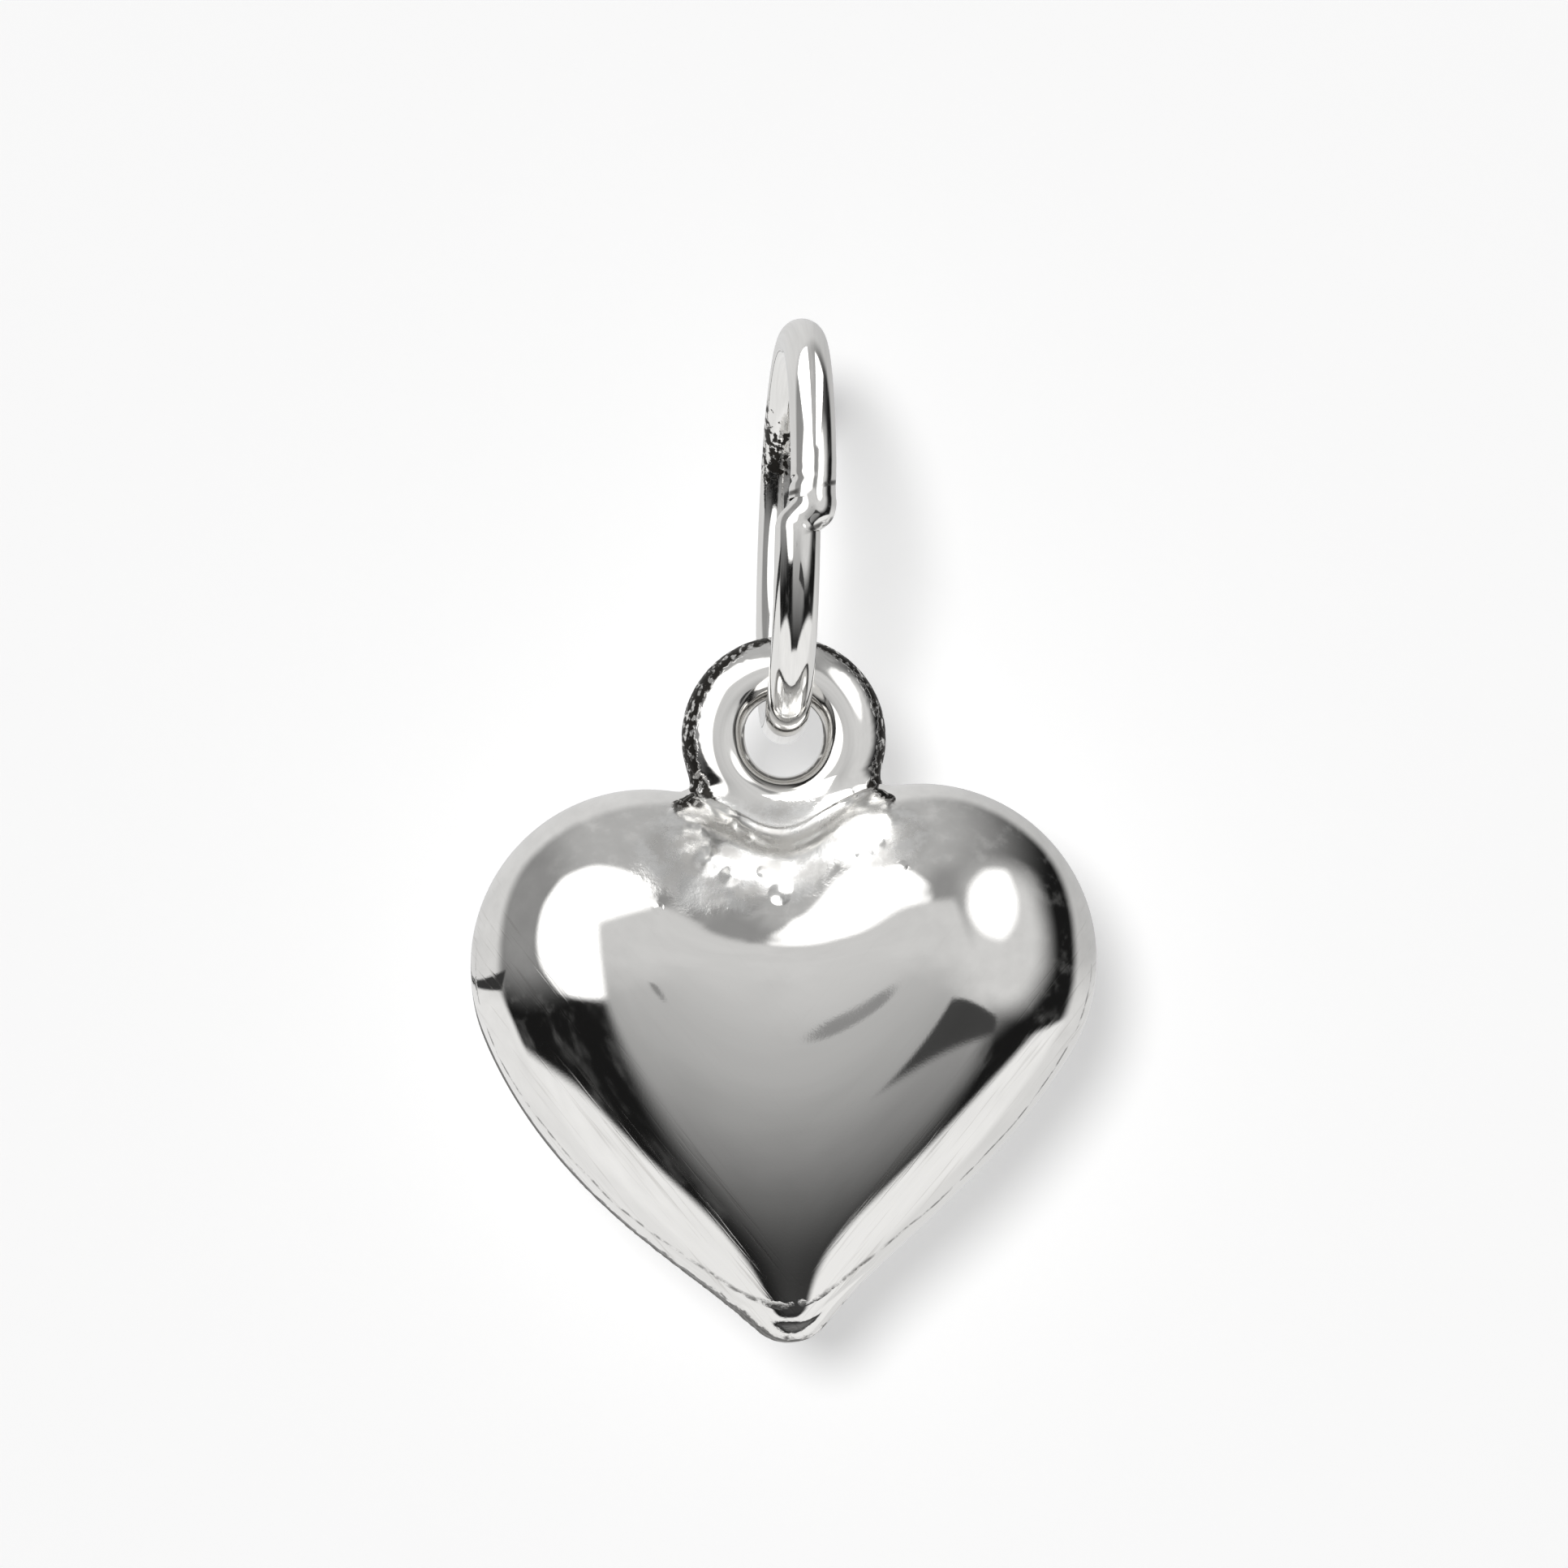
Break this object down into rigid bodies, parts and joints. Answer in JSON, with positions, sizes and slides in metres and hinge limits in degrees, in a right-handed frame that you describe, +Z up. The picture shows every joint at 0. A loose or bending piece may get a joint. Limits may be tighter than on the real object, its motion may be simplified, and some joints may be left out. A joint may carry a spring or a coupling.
{
  "type": "heart pendant",
  "caption": "Polished silver puffed heart pendant with a round soldered eyelet, hanging free on a plain wire jump ring.",
  "frame": {"origin": "top of the jump ring's opening, on the wire, where a chain or hook carries the pendant", "axes": "+Z up, +X to the right as the front of the heart is looked at, +Y away from the viewer"},
  "size_m": [0.0101, 0.0069, 0.0165],
  "materials": {
    "polished_silver": "mirror-polished sterling silver with fine handling marks"
  },
  "bodies": {
    "ring": {"jump_ring": "polished_silver"},
    "heart": {"heart_drop": "polished_silver"}
  },
  "joints": [
    {"name": "heart_swing", "type": "hinge", "parent": "ring", "child": "heart", "pos_m": [-0.00027, 0, -0.0058], "axis": [0, 1, 0], "range_deg": [-110, 110]}
  ]
}
